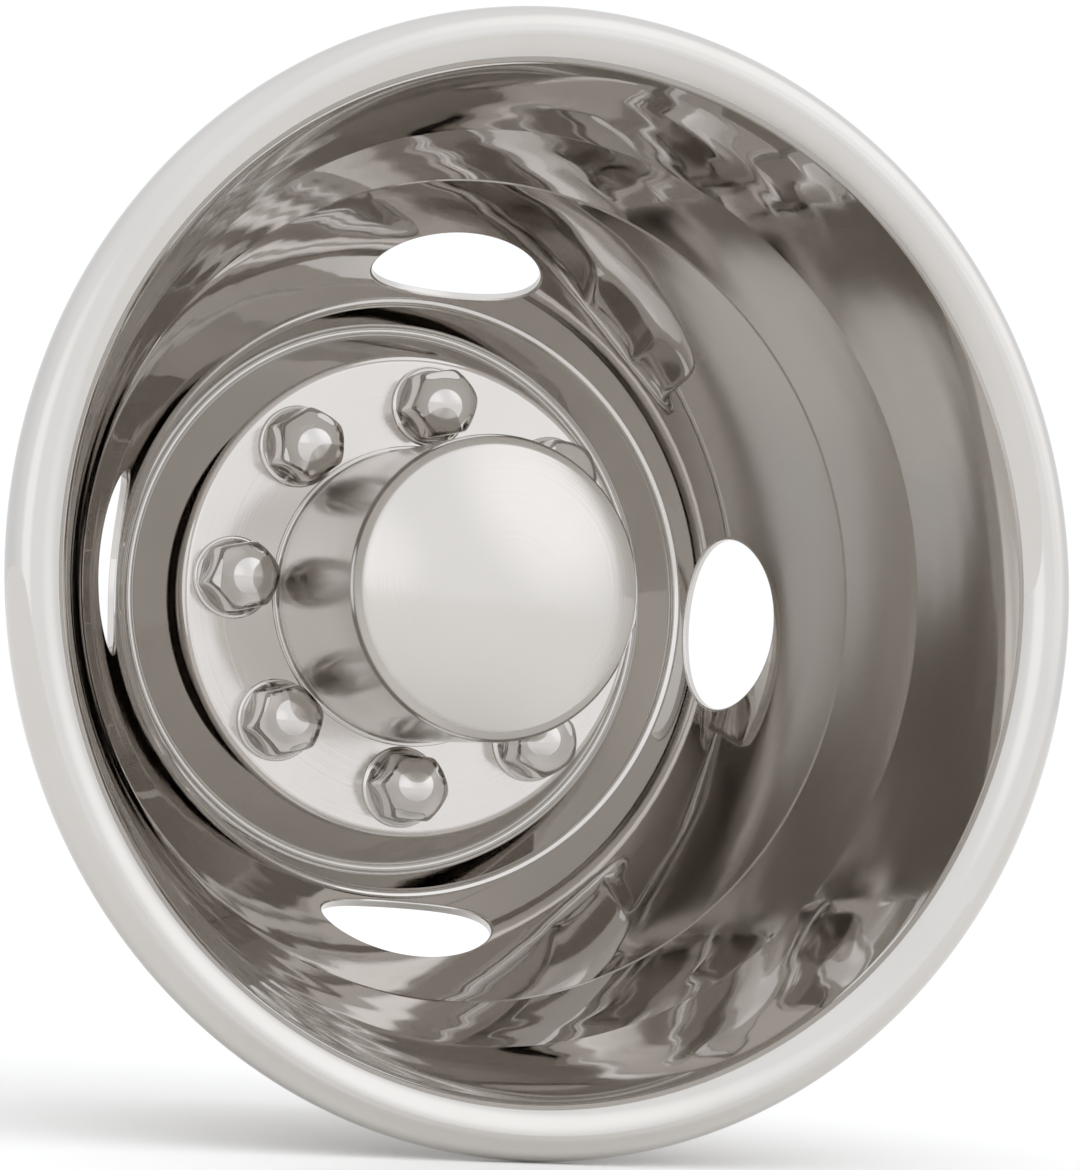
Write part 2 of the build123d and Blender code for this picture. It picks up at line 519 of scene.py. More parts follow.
@dataclass
class HandHole:
    """Oval hole in the bowl's cone, its edge turned to the back.

    Attributes:
        cone_top: Radius and depth where the cone starts.
        cone_foot: Radius and depth where the cone ends.
        depth: Depth of the hole's centre.
        half_length: Half length around the wheel.
        half_width: Half width along the cone.
        turn: How far the edge is turned back.
        bend: Bend radius on the visible side.
        back_bend: Bend radius behind the sheet.
        bend_rows: Rows around the visible bend.
        rim_rows: Rows around the turned edge's end.
        back_rows: Rows around the bend behind the sheet.
    """

    cone_top: tuple[float, float]
    cone_foot: tuple[float, float]
    depth: float = 151.4
    half_length: float = 37.6
    half_width: float = 25.1
    turn: float = 3.6
    bend: float = 1.1
    back_bend: float = 0.5
    bend_rows: int = 7
    rim_rows: int = 6
    back_rows: int = 4

    @property
    def lean(self) -> float:
        """Angle between the cone and the wheel axis."""
        return math.atan2(self.cone_top[0] - self.cone_foot[0], self.cone_foot[1] - self.cone_top[1])

    @property
    def radius(self) -> float:
        """Radius of the hole's centre on the visible face."""
        return self.cone_top[0] - (self.depth - self.cone_top[1]) * math.tan(self.lean)

    def on_oval(self, bearings: np.ndarray, margin: np.ndarray) -> tuple[np.ndarray, np.ndarray]:
        """Place around and along the cone at these bearings, this far outside the hole."""
        return (self.half_length + margin) * np.cos(bearings), (self.half_width + margin) * np.sin(bearings)

    def rise(self, around: np.ndarray, along: np.ndarray, side: Side) -> np.ndarray:
        """How far a skin of the cone stands behind the flat plane that touches it at the hole's centre.

        Args:
            around: Place around the wheel.
            along: Place along the cone, towards the lip.
            side: Skin that is meant.

        Returns:
            Distances behind the plane.
        """
        back = SHEET if side is Side.BACK else 0.0
        reach = self.radius + back * math.cos(self.lean) + along * math.sin(self.lean)
        bulge = np.sqrt(reach**2 - around**2 * math.cos(2 * self.lean)) - reach
        return back + math.cos(self.lean) * bulge / math.cos(2 * self.lean)

    def place(self, around: np.ndarray, along: np.ndarray, behind: np.ndarray) -> np.ndarray:
        """Points of the hole at angle zero from places on its plane."""
        cos, sin = math.cos(self.lean), math.sin(self.lean)
        return np.stack([
            self.radius + along * sin + behind * cos, self.depth - along * cos + behind * sin, around], -1)

    def edge_on_cone(self, bearings: np.ndarray, side: Side) -> np.ndarray:
        """Line where the turned edge leaves a skin of the cone.

        Args:
            bearings: Angles on the oval.
            side: Skin that is meant.

        Returns:
            Angle and radius at each bearing.
        """
        margin = self.bend if side is Side.FRONT else SHEET + self.back_bend
        around, along = self.on_oval(bearings, np.array(margin))
        points = self.place(around, along, self.rise(around, along, side))
        return np.stack([np.arctan2(points[:, 2], points[:, 0]), np.hypot(points[:, 0], points[:, 2])], -1)

    def turned_edge(self, bearings: np.ndarray) -> tuple[np.ndarray, np.ndarray]:
        """Rows of the turned edge from the visible face, through the hole, to the back of the sheet.

        Args:
            bearings: Angles on the oval.

        Returns:
            Grids of points and normals.
        """
        cos, sin = math.cos(self.lean), math.sin(self.lean)
        out = unit(np.stack([np.cos(bearings) / self.half_length, np.sin(bearings) / self.half_width], -1))
        zero = np.zeros_like(bearings)
        outward = np.stack([out[:, 1] * sin, -out[:, 1] * cos, out[:, 0]], -1)
        rows: list[tuple[np.ndarray, np.ndarray]] = []

        def cone_normal(points: np.ndarray) -> np.ndarray:
            """Normal of the cone's back at these points."""
            angle = np.arctan2(points[:, 2], points[:, 0])
            return np.stack([cos * np.cos(angle), sin + zero, cos * np.sin(angle)], -1)

        def add(margin: float, side: Side, lift: float, inward: float, facing: float) -> None:
            """Adds a row.

            Args:
                margin: How far outside the hole it runs.
                side: Skin of the cone that it follows.
                lift: Distance behind that skin.
                inward: Share of its normal that faces the hole's centre.
                facing: Share of its normal that faces the back.
            """
            around, along = self.on_oval(bearings, np.array(margin))
            points = self.place(around, along, self.rise(around, along, side) + lift)
            rows.append((points, facing * cone_normal(points) - inward * outward))

        for roll in np.linspace(0, math.pi / 2, self.bend_rows):
            add(self.bend * (1 - math.sin(roll)), Side.FRONT, self.bend * (1 - math.cos(roll)),
                math.sin(roll), -math.cos(roll))
        half = SHEET / 2
        for roll in np.linspace(0, math.pi, self.rim_rows):
            add(half * (1 - math.cos(roll)), Side.FRONT, self.turn - half + half * math.sin(roll),
                math.cos(roll), math.sin(roll))
        for roll in np.linspace(0, math.pi / 2, self.back_rows):
            add(SHEET + self.back_bend * (1 - math.cos(roll)), Side.BACK, self.back_bend * (1 - math.sin(roll)),
                -math.cos(roll), math.sin(roll))
        return np.stack([row[0] for row in rows]), np.stack([row[1] for row in rows])


@dataclass
class NutHoles:
    """Ring of round holes for the wheel nuts in a flat disc.

    Attributes:
        count: Number of holes.
        circle_r: Radius of the nut circle.
        hole_r: Radius of a hole.
        edge_round: Rounding of a hole's edges.
        side_steps: Cells across the disc between two holes.
        steps: Cells from a hole's edge to its field's border.
    """

    count: int = 8
    circle_r: float = 82.55
    hole_r: float = 13.5
    edge_round: float = 0.2
    side_steps: int = 8
    steps: int = 4

    def edge(self, bearings: np.ndarray) -> np.ndarray:
        """One hole's rounded edge on the disc's face.

        Args:
            bearings: Angles about the hole's centre.

        Returns:
            Angle and radius at each bearing.
        """
        reach = self.hole_r + self.edge_round
        x, z = self.circle_r + reach * np.sin(bearings), reach * np.cos(bearings)
        return np.stack([np.arctan2(z, x), np.hypot(x, z)], -1)

    def wall(self, bearings: np.ndarray, front: float, back: float) -> tuple[np.ndarray, np.ndarray]:
        """Rows through the sheet at one hole.

        Args:
            bearings: Angles about the hole's centre.
            front: Depth of the front face.
            back: Depth of the back face.

        Returns:
            Grids of points and normals from the front face to the back one.
        """
        out = np.stack([np.sin(bearings), 0 * bearings, np.cos(bearings)], -1)
        axis = np.array([0.0, 1.0, 0.0])
        centre = np.array([self.circle_r, 0.0, 0.0])
        rows = [(self.edge_round, front, -axis + 0 * out), (0.0, front + self.edge_round, -out),
                (0.0, back - self.edge_round, -out), (self.edge_round, back, axis + 0 * out)]
        points = [centre + (self.hole_r + margin) * out + depth * axis for margin, depth, _ in rows]
        return np.stack(points), np.stack([normal for _, _, normal in rows])


def add_all_round(skin: Skin, grids: tuple[np.ndarray, np.ndarray], count: int) -> None:
    """Adds the same grids at evenly spaced angles.

    Args:
        skin: Skin that gets them.
        grids: Points and normals.
        count: Number of places around the wheel.
    """
    for index in range(count):
        angle = 2 * math.pi * index / count
        skin.add(turn_about_axis(grids[0], angle), turn_about_axis(grids[1], angle))


def ring_angles() -> np.ndarray:
    """Angles of the columns that every ring shares."""
    return 2 * math.pi * np.arange(AROUND) / AROUND


def closed_sheet(front: Section) -> Section:
    """Both skins and both rounded ends of a sheet.

    Args:
        front: Visible skin.

    Returns:
        The closed section, its first point repeated at the end.
    """
    back = front.behind(SHEET).turned_round()
    start = Section(back.points[-1:], back.normals[-1:])
    return front + front.end_round(SHEET) + back + start.end_round(SHEET) + Section(front.points[:1], front.normals[:1])


def add_nut_disc(skin: Skin, loop: Section, nuts: NutHoles, front_row: int, back_row: int) -> None:
    """Adds both faces of a flat disc with its nut holes.

    Args:
        skin: Skin that gets them.
        loop: Closed section of the sheet.
        nuts: Nut holes.
        front_row: Row where the visible face starts.
        back_row: Row where the back starts.
    """
    bands = []
    for row in (front_row, back_row):
        first, last = sorted((row, row + 1), key=lambda number: -loop.points[number][0])
        bands.append(PiercedBand(
            loop.points[first], loop.points[last], loop.normals[first], nuts.count, nuts.circle_r,
            (nuts.hole_r, nuts.hole_r), nuts.side_steps, nuts.steps))
    front, back = bands
    bearings = front.bearings()
    for band in bands:
        add_all_round(skin, band.field(nuts.edge(bearings)), nuts.count)
    add_all_round(skin, nuts.wall(bearings, front.outer[1], back.outer[1]), nuts.count)


@dataclass
class WheelLiner:
    """Dished bowl with a rolled lip, two fine steps, four hand holes and a groove around the nut disc.

    Attributes:
        line: Visible line from the hem to the hub opening, as radius, depth and bend radius.
        cone_corner: Number of the corner where the cone with the hand holes starts.
        hand_holes: Number of hand holes.
        nuts: Nut holes in the disc.
    """

    line: tuple[tuple[float, float, float], ...] = (
        (216.0, 9.0, 0.0), (222.0, 4.0, 3.5), (222.0, -7.0, 9.0), (202.0, -7.0, 13.0), (183.3, 56.4, 3.0),
        (168.8, 92.1, 0.8), (168.2, 93.0, 1.1), (129.9, 177.5, 1.6), (126.8, 178.6, 4.0), (118.8, 204.5, 1.5),
        (98.6, 170.8, 2.0), (66.9, 170.8, 0.0))
    cone_corner: int = 6
    hand_holes: int = 4
    nuts: NutHoles = field(default_factory=NutHoles)

    def build(self) -> bpy.types.Mesh:
        """Builds the sheet.

        Returns:
            One closed mesh.
        """
        front = trace(self.line)
        loop = closed_sheet(front)
        skin = Skin()
        last = len(front.points) - 1
        cone_row = self._row_after(self.cone_corner)
        disc_row = last - 1
        mirrored = len(front.points) + len(front.end_round(SHEET).points)
        cone_back = mirrored + last - cone_row - 1
        disc_back = mirrored
        points, normals = spin(loop, ring_angles())
        skin.add(points, normals, gaps=(cone_row, disc_row, cone_back, disc_back))
        self._add_hand_holes(skin, loop, cone_row, cone_back)
        add_nut_disc(skin, loop, self.nuts, disc_row, disc_back)
        return skin.mesh("bowl_sheet")

    def _row_after(self, corner: int) -> int:
        """Last row of the bend at a corner."""
        turned = trace(self.line[:corner + 2])
        return len(turned.points) - 2

    def _add_hand_holes(self, skin: Skin, loop: Section, front_row: int, back_row: int) -> None:
        """Adds the pierced cone, front and back, and the turned edges.

        Args:
            skin: Skin that gets them.
            loop: Closed section of the sheet.
            front_row: Row where the visible cone starts.
            back_row: Row where the cone's back starts.
        """
        hole = HandHole(self.line[self.cone_corner][:2], self.line[self.cone_corner + 1][:2])
        sizes = (hole.half_length, hole.half_width)
        front = PiercedBand(loop.points[front_row], loop.points[front_row + 1], loop.normals[front_row],
                            self.hand_holes, hole.radius, sizes)
        back = PiercedBand(loop.points[back_row + 1], loop.points[back_row], loop.normals[back_row],
                           self.hand_holes, hole.radius, sizes)
        bearings = front.bearings()
        add_all_round(skin, front.field(hole.edge_on_cone(bearings, Side.FRONT)), self.hand_holes)
        add_all_round(skin, back.field(hole.edge_on_cone(bearings, Side.BACK)), self.hand_holes)
        add_all_round(skin, hole.turned_edge(bearings), self.hand_holes)

    def dress(self) -> bpy.types.Object:
        """Builds and places the bowl."""
        return dress(self.build(), "wheel_liner_sheet", LINER_STEEL, ["wheel_liner"])


@dataclass
class LugPlate:
    """Flat plate under the nut covers, its rim turned back.

    Attributes:
        radius: Outside radius.
        front: Depth of the visible face.
        rim_end: Depth where the rim ends.
        edge_round: Bend radius of the rim.
        opening_r: Radius of the opening under the hub cap.
        nuts: Nut holes.
    """

    radius: float = 104.6
    front: float = 170.0
    rim_end: float = 176.0
    edge_round: float = 3.8
    opening_r: float = 63.2
    nuts: NutHoles = field(default_factory=NutHoles)

    def build(self) -> bpy.types.Mesh:
        """Builds the plate.

        Returns:
            One closed mesh.
        """
        front = trace([
            (self.radius, self.rim_end - SHEET / 2, 0.0), (self.radius, self.front, self.edge_round),
            (self.opening_r, self.front, 0.0)])
        loop = closed_sheet(front)
        skin = Skin()
        points, normals = spin(loop, ring_angles())
        flat = len(front.points) - 2
        mirrored = len(front.points) + len(front.end_round(SHEET).points)
        skin.add(points, normals, gaps=(flat, mirrored))
        add_nut_disc(skin, loop, self.nuts, flat, mirrored)
        return skin.mesh("nut_plate_sheet")

    def dress(self) -> bpy.types.Object:
        """Builds and places the plate."""
        return dress(self.build(), "lug_plate_sheet", PLATE_STEEL, ["lug_plate"])


def to_plain_mesh(piece: bpy.types.Object, name: str) -> bpy.types.Mesh:
    """Evaluates a piece's nodes into a plain mesh and removes the piece that carried them.

    Args:
        piece: Object with the Geometry Nodes modifier.
        name: Name of the mesh.

    Returns:
        The plain mesh.
    """
    bpy.context.view_layer.update()
    graph = bpy.context.evaluated_depsgraph_get()
    mesh = bpy.data.meshes.new_from_object(piece.evaluated_get(graph))
    mesh.name = name
    piece.modifiers.clear()
    bpy.data.objects.remove(piece)
    return mesh


def node_piece(name: str, mesh: bpy.types.Mesh, tree: bpy.types.NodeTree, values: dict[str, Any]) -> bpy.types.Object:
    """Scene object whose Geometry Nodes modifier runs a tree with these inputs.

    Args:
        name: Object name.
        mesh: Mesh that enters the tree.
        tree: Geometry Nodes tree.
        values: Values by input name.

    Returns:
        The object, not yet evaluated.
    """
    piece = bpy.data.objects.new(name, mesh)
    modifier = piece.modifiers.new(name, "NODES")
    modifier.node_group = tree
    for item in tree.interface.items_tree:
        if item.item_type == "SOCKET" and item.in_out == "INPUT" and item.name in values:
            modifier[item.identifier] = values[item.name]
    bpy.context.scene.collection.objects.link(piece)
    return piece


def new_tree(name: str, inputs: dict[str, str]) -> tuple[bpy.types.NodeTree, bpy.types.Node]:
    """Empty Geometry Nodes tree with named inputs and one geometry output.

    Args:
        name: Tree name.
        inputs: Socket types by input name.

    Returns:
        The tree and its group input node.
    """
    tree = bpy.data.node_groups.new(name, "GeometryNodeTree")
    for label, kind in inputs.items():
        tree.interface.new_socket(label, in_out="INPUT", socket_type=kind)
    tree.interface.new_socket("Geometry", in_out="OUTPUT", socket_type="NodeSocketGeometry")
    return tree, add_node(tree, "NodeGroupInput")


def spinning_tree() -> bpy.types.NodeTree:
    """Tree that turns a section's points about the wheel axis, with exact normals.

    Returns:
        The tree. Its input mesh holds the section's points as x and y and their normals as an attribute.
    """
    tree, given = new_tree("spun_section", {
        "Geometry": "NodeSocketGeometry", "Rows": "NodeSocketInt", "Columns": "NodeSocketInt",
        "Material": "NodeSocketMaterial"})
    seam = add_node(tree, "ShaderNodeMath", {0: given.outputs["Columns"], 1: 1.0}, operation="ADD")
    grid = add_node(tree, "GeometryNodeMeshGrid", {
        "Vertices X": seam.outputs[0], "Vertices Y": given.outputs["Rows"]})
    number = add_node(tree, "GeometryNodeInputIndex").outputs[0]
    row = add_node(tree, "ShaderNodeMath", {0: number, 1: given.outputs["Rows"]}, operation="MODULO").outputs[0]
    along = add_node(tree, "ShaderNodeMath", {0: number, 1: given.outputs["Rows"]}, operation="DIVIDE")
    column = add_node(tree, "ShaderNodeMath", {0: along.outputs[0]}, operation="FLOOR")
    share = add_node(tree, "ShaderNodeMath", {0: column.outputs[0], 1: given.outputs["Columns"]}, operation="DIVIDE")
    angle = add_node(tree, "ShaderNodeMath", {0: share.outputs[0], 1: -2 * math.pi}, operation="MULTIPLY")
    spot = add_node(tree, "GeometryNodeInputPosition").outputs[0]
    facing = add_node(tree, "GeometryNodeInputNamedAttribute", {"Name": "facing"}, data_type="FLOAT_VECTOR")
    turned = []
    for value in (spot, facing.outputs[0]):
        sample = add_node(tree, "GeometryNodeSampleIndex", {
            "Geometry": given.outputs["Geometry"], "Value": value, "Index": row}, data_type="FLOAT_VECTOR")
        turned.append(add_node(tree, "ShaderNodeVectorRotate", {
            "Vector": sample.outputs[0], "Angle": angle.outputs[0]}, rotation_type="Y_AXIS").outputs[0])
    placed = add_node(tree, "GeometryNodeSetPosition", {"Geometry": grid.outputs["Mesh"], "Position": turned[0]})
    noted = add_node(tree, "GeometryNodeStoreNamedAttribute", {
        "Geometry": placed.outputs[0], "Name": "facing", "Value": turned[1]}, data_type="FLOAT_VECTOR", domain="POINT")
    welded = add_node(tree, "GeometryNodeMergeByDistance", {"Geometry": noted.outputs[0], "Distance": WELD})
    smooth = add_node(tree, "GeometryNodeSetShadeSmooth", {"Geometry": welded.outputs[0]})
    exact = add_node(tree, "GeometryNodeSetMeshNormal", mode="FREE", domain="POINT")
    tree.links.new(smooth.outputs[0], exact.inputs["Mesh"])
    tree.links.new(facing.outputs[0], exact.inputs["Custom Normal"])
    whole = add_node(tree, "GeometryNodeRealizeInstances", {"Geometry": exact.outputs[0]})
    coated = add_node(tree, "GeometryNodeSetMaterial", {
        "Geometry": whole.outputs[0], "Material": given.outputs["Material"]})
    add_node(tree, "NodeGroupOutput", {"Geometry": coated.outputs[0]})
    return tree


@dataclass
class HubCap:
    """Deep drawn cap over the hub with a low dome and a narrow flange on the plate.

    Attributes:
        wall_r: Outside radius of the straight wall.
        flange_r: Radius of the flange's edge.
        base_bend: Bend radius between wall and flange.
        foot: Depth of the flange's visible face.
        dome_front: Depth of the dome's highest point.
        dome_r: Radius of the dome.
        shoulder_r: Radius of the round between dome and wall.
    """

    wall_r: float = 62.8
    flange_r: float = 64.9
    base_bend: float = 1.0
    foot: float = 169.2
    dome_front: float = 60.0
    dome_r: float = 150.0
    shoulder_r: float = 9.0

    def section(self) -> Section:
        """Half section of the visible skin.

        Returns:
            The skin from the flange's edge to the axis.
        """
        dome_depth = self.dome_front + self.dome_r
        inset = self.wall_r - self.shoulder_r
        shoulder_depth = dome_depth - math.sqrt((self.dome_r - self.shoulder_r) ** 2 - inset**2)
        meet = math.degrees(math.atan2(shoulder_depth - dome_depth, inset))
        flange = Section(np.array([[self.flange_r - SHEET / 2, self.foot]]), np.array([[0.0, -1.0]]))
        bend = arc_section((self.wall_r + self.base_bend, self.foot - self.base_bend), self.base_bend, 90, 180, True)
        shoulder = arc_section((inset, shoulder_depth), self.shoulder_r, 0.0, meet, False)
        dome = arc_section((0.0, dome_depth), self.dome_r, meet, -90.0, False)
        return flange + bend + shoulder + Section(dome.points[1:], dome.normals[1:])

    def build(self) -> bpy.types.Mesh:
        """Spins both skins of the cap.

        Returns:
            One closed mesh with its material.
        """
        front = self.section()
        back = front.behind(SHEET)
        edge = Section(back.points[:1], back.normals[:1]).end_round(SHEET)
        loop = back.turned_round() + edge + front
        loop.points[[0, -1], 0] = 0.0
        spots = np.column_stack([loop.points[:, 0], loop.points[:, 1] - SEAT_DEPTH, np.zeros(len(loop.points))]) * MM
        mesh = bpy.data.meshes.new("hub_cap_section")
        mesh.from_pydata(spots.tolist(), [], [])
        facing = mesh.attributes.new("facing", "FLOAT_VECTOR", "POINT")
        facing.data.foreach_set("vector", np.column_stack([loop.normals, np.zeros(len(spots))]).ravel())
        carrier = node_piece("hub_cap_spin", mesh, spinning_tree(), {
            "Rows": len(spots), "Columns": AROUND, "Material": CAP_STEEL.material()})
        return to_plain_mesh(carrier, "hub_cap_sheet")

    def dress(self) -> bpy.types.Object:
        """Builds and places the cap."""
        return dress(self.build(), "hub_cap_sheet", None, ["hub_cap"])


def soft_min(first: np.ndarray, second: np.ndarray, blend: float) -> np.ndarray:
    """Smaller of two lengths, rounded where they meet."""
    near = np.maximum(blend - np.abs(first - second), 0.0)
    return np.minimum(first, second) - near**2 / (4 * blend)


def cover_ring_tree() -> bpy.types.NodeTree:
    """Tree that stands a nut cover on each seat, turned as the seat says.

    Returns:
        The tree. Its input mesh holds one point per seat with its turn as an attribute.
    """
    tree, given = new_tree("nut_cover_ring", {
        "Geometry": "NodeSocketGeometry", "Cover": "NodeSocketObject", "Material": "NodeSocketMaterial"})
    cover = add_node(tree, "GeometryNodeObjectInfo", {"Object": given.outputs["Cover"]})
    turn = add_node(tree, "GeometryNodeInputNamedAttribute", {"Name": "turn"}, data_type="FLOAT")
    rotation = add_node(tree, "FunctionNodeAxisAngleToRotation", {"Axis": (0.0, -1.0, 0.0), "Angle": turn.outputs[0]})
    ring = add_node(tree, "GeometryNodeInstanceOnPoints", {
        "Points": given.outputs["Geometry"], "Instance": cover.outputs["Geometry"],
        "Rotation": rotation.outputs["Rotation"]})
    whole = add_node(tree, "GeometryNodeRealizeInstances", {"Geometry": ring.outputs[0]})
    coated = add_node(tree, "GeometryNodeSetMaterial", {
        "Geometry": whole.outputs[0], "Material": given.outputs["Material"]})
    add_node(tree, "NodeGroupOutput", {"Geometry": coated.outputs[0]})
    return tree


@dataclass
class NutCovers:
    """Hollow covers over the wheel nuts: a hexagon under a ball-shaped top, on a round flared skirt.

    Attributes:
        seat_depth: Depth of the plate that they stand on.
        circle_r: Radius of the nut circle.
        sides: Sides of the hexagon.
        flat_half: Half width across the hexagon's flats.
        corner_r: Radius that rounds the hexagon's corners.
        ball_r: Radius of the ball-shaped top.
        ball_up: Height of the ball's centre.
        skirt_r: Outside radius of the skirt.
        skirt_edge: Height of the skirt's straight edge.
        neck_r: Radius where the flare ends.
        skirt_height: Height of the flare.
        wall: Wall thickness.
        corner_blend: Rounding between the hexagon's flats and corners.
        skirt_blend: Rounding between skirt and hexagon.
        top_blend: Rounding between hexagon and ball.
        skirt_foot: Rows that round the skirt's lower edge, as height and how far they are drawn in.
        flare_rows: Heights of the rows up the flare.
        body_rows: Heights of the rows up the hexagon.
        top_rows: Rows over the top.
        pocket_rows: Rows over the pocket's top.
        pocket_foot: Rows down the pocket, as how far they are widened and height.
        turns: How far each hexagon is turned, in degrees.
        columns: Points around a cover.
    """

    seat_depth: float = 170.0
    circle_r: float = 82.55
    sides: int = 6
    flat_half: float = 13.8
    corner_r: float = 15.6
    ball_r: float = 17.0
    ball_up: float = 11.0
    skirt_r: float = 17.5
    skirt_edge: float = 1.0
    neck_r: float = 14.4
    skirt_height: float = 4.6
    wall: float = 0.9
    corner_blend: float = 0.6
    skirt_blend: float = 0.8
    top_blend: float = 1.2
    skirt_foot: tuple[tuple[float, float], ...] = ((0.0, 0.25), (0.12, 0.08))
    flare_rows: tuple[float, ...] = (0.4, 1.0, 1.1, 1.3, 1.6, 2.0, 2.5, 3.0, 3.6, 4.2, 4.6)
    body_rows: tuple[float, ...] = (5.2, 6.5, 8.5)
    top_rows: int = 22
    pocket_rows: int = 8
    pocket_foot: tuple[tuple[float, float], ...] = ((0.0, 4.0), (0.0, 0.3), (0.2, 0.0))
    turns: tuple[float, ...] = (20.0, 50.0, 15.0, 35.0, 15.0, 17.0, 58.0, 35.0)
    columns: int = 96

    def hexagon(self, angles: np.ndarray, inset: float) -> np.ndarray:
        """Outline of the rounded hexagon.

        Args:
            angles: Angles of the columns.
            inset: How far it is drawn in.

        Returns:
            Radius at each angle.
        """
        sector = 360 / self.sides
        lean = np.radians(np.degrees(angles) % sector - sector / 2)
        return soft_min((self.flat_half - inset) / np.cos(lean), self.corner_r - inset + 0 * angles, self.corner_blend)

    def flare(self, height: float) -> float:
        """Radius of the skirt's hollow flare at a height."""
        share = min(max((height - self.skirt_edge) / (self.skirt_height - self.skirt_edge), 0.0), 1.0)
        return self.neck_r + (self.skirt_r - self.neck_r) * (1 - math.sqrt(1 - (1 - share) ** 2))

    def ball_top(
            self, hexagon: np.ndarray, inset: float, rises: np.ndarray) -> list[tuple[np.ndarray, np.ndarray]]:
        """Rows where a hexagon rounds off into the ball-shaped top.

        Args:
            hexagon: Radius of the hexagon at each column.
            inset: How far the ball is drawn in.
            rises: Angles above the ball's middle, in degrees.

        Returns:
            Radius and height of each row.
        """
        rows = []
        for rise in np.radians(rises):
            wide = hexagon / max(math.cos(rise), TINY_SLOPE)
            reach = soft_min(wide, self.ball_r - inset + 0 * wide, self.top_blend)
            rows.append((reach * math.cos(rise), self.ball_up + reach * math.sin(rise)))
        return rows

    def rows(self, angles: np.ndarray) -> list[tuple[np.ndarray, np.ndarray]]:
        """Rows from the pocket's top, round the skirt's edge, to the cover's top.

        Args:
            angles: Angles of the columns.

        Returns:
            Radius and height of each row.
        """
        body, pocket = self.hexagon(angles, 0.0), self.hexagon(angles, self.wall)
        rows = self.ball_top(pocket, self.wall, np.linspace(90, 0, self.pocket_rows))
        rows += [(pocket + margin, height + 0 * pocket) for margin, height in self.pocket_foot]
        for height, trim in (*self.skirt_foot, *((height, 0.0) for height in self.flare_rows)):
            skirt = self.flare(height) - trim
            rows.append((-soft_min(-body, -skirt + 0 * body, self.skirt_blend), height + 0 * body))
        rows += [(body, height + 0 * body) for height in self.body_rows]
        return rows + self.ball_top(body, 0.0, np.linspace(0, 90, self.top_rows))

    def build_cover(self) -> bpy.types.Mesh:
        """Builds one cover.

        Returns:
            The cover on the frame's seat plane, its top to the front.
        """
        angles = 2 * math.pi * np.arange(self.columns) / self.columns
        skin = Skin()
        rows = self.rows(angles)
        points = np.stack([
            np.stack([radius * np.cos(angles), SEAT_DEPTH - height, radius * np.sin(angles)], -1)
            for radius, height in rows])
        along = np.gradient(points, axis=0)
        around = np.roll(points, -1, 1) - np.roll(points, 1, 1)
        normals = unit(np.cross(around, along) + TINY_NORMAL)
        normals[[0, -1]] = np.array([[[0.0, 1.0, 0.0]], [[0.0, -1.0, 0.0]]])
        skin.add(points, normals)
        return skin.mesh("nut_cover")

    def build(self) -> bpy.types.Mesh:
        """Stands the covers around the plate.

        Returns:
            One mesh with all covers and their material.
        """
        cover = bpy.data.objects.new("nut_cover", self.build_cover())
        bpy.context.scene.collection.objects.link(cover)
        angles = 2 * math.pi * np.arange(len(self.turns)) / len(self.turns)
        seats = np.stack([
            self.circle_r * np.cos(angles), np.full(len(angles), self.seat_depth - SEAT_DEPTH),
            self.circle_r * np.sin(angles)], -1) * MM
        mesh = bpy.data.meshes.new("nut_cover_seats")
        mesh.from_pydata(seats.tolist(), [], [])
        turn = mesh.attributes.new("turn", "FLOAT", "POINT")
        turn.data.foreach_set("value", np.radians(self.turns))
        ring = node_piece("nut_cover_ring", mesh, cover_ring_tree(), {
            "Cover": cover, "Material": COVER_STEEL.material()})
        result = to_plain_mesh(ring, "nut_covers")
        bpy.data.objects.remove(cover)
        return result

    def dress(self) -> bpy.types.Object:
        """Builds and places the covers."""
        nodes = [f"lug_cover_{index + 1}" for index in range(len(self.turns))]
        return dress(self.build(), "nut_covers", None, nodes)


def seen_directly(tree: bpy.types.NodeTree) -> bpy.types.NodeSocket:
    """Tells which rays show the surroundings to the eye.

    Args:
        tree: Tree that gets the nodes.

    Returns:
        One for rays seen straight or in metal or glass, and zero for others.
    """
    path = add_node(tree, "ShaderNodeLightPath")
    shown = path.outputs["Is Camera Ray"]
    for kind in ("Is Glossy Ray", "Is Transmission Ray"):
        shown = add_node(tree, "ShaderNodeMath", {0: shown, 1: path.outputs[kind]}, operation="MAXIMUM").outputs[0]
    return shown


@dataclass(frozen=True)
class Glow:
    """Soft brightening of the tent around one direction.

    Attributes:
        towards: Unit direction of its middle.
        edge: Cosine of the angle where it starts.
        heart: Cosine of the angle where it is full.
        gain: Light that it adds, where one is white.
    """

    towards: tuple[float, float, float]
    edge: float
    heart: float
    gain: float

    def level(self, tree: bpy.types.NodeTree, way: bpy.types.NodeSocket) -> bpy.types.NodeSocket:
        """Light that the glow adds.

        Args:
            tree: Tree that gets the nodes.
            way: Direction of a ray.

        Returns:
            The light in that direction.
        """
        near = add_node(tree, "ShaderNodeVectorMath", {0: way, 1: self.towards}, operation="DOT_PRODUCT")
        return add_node(tree, "ShaderNodeMapRange", {
            "Value": near.outputs["Value"], "From Min": self.edge, "From Max": self.heart, "To Max": self.gain},
            interpolation_type="SMOOTHSTEP").outputs["Result"]


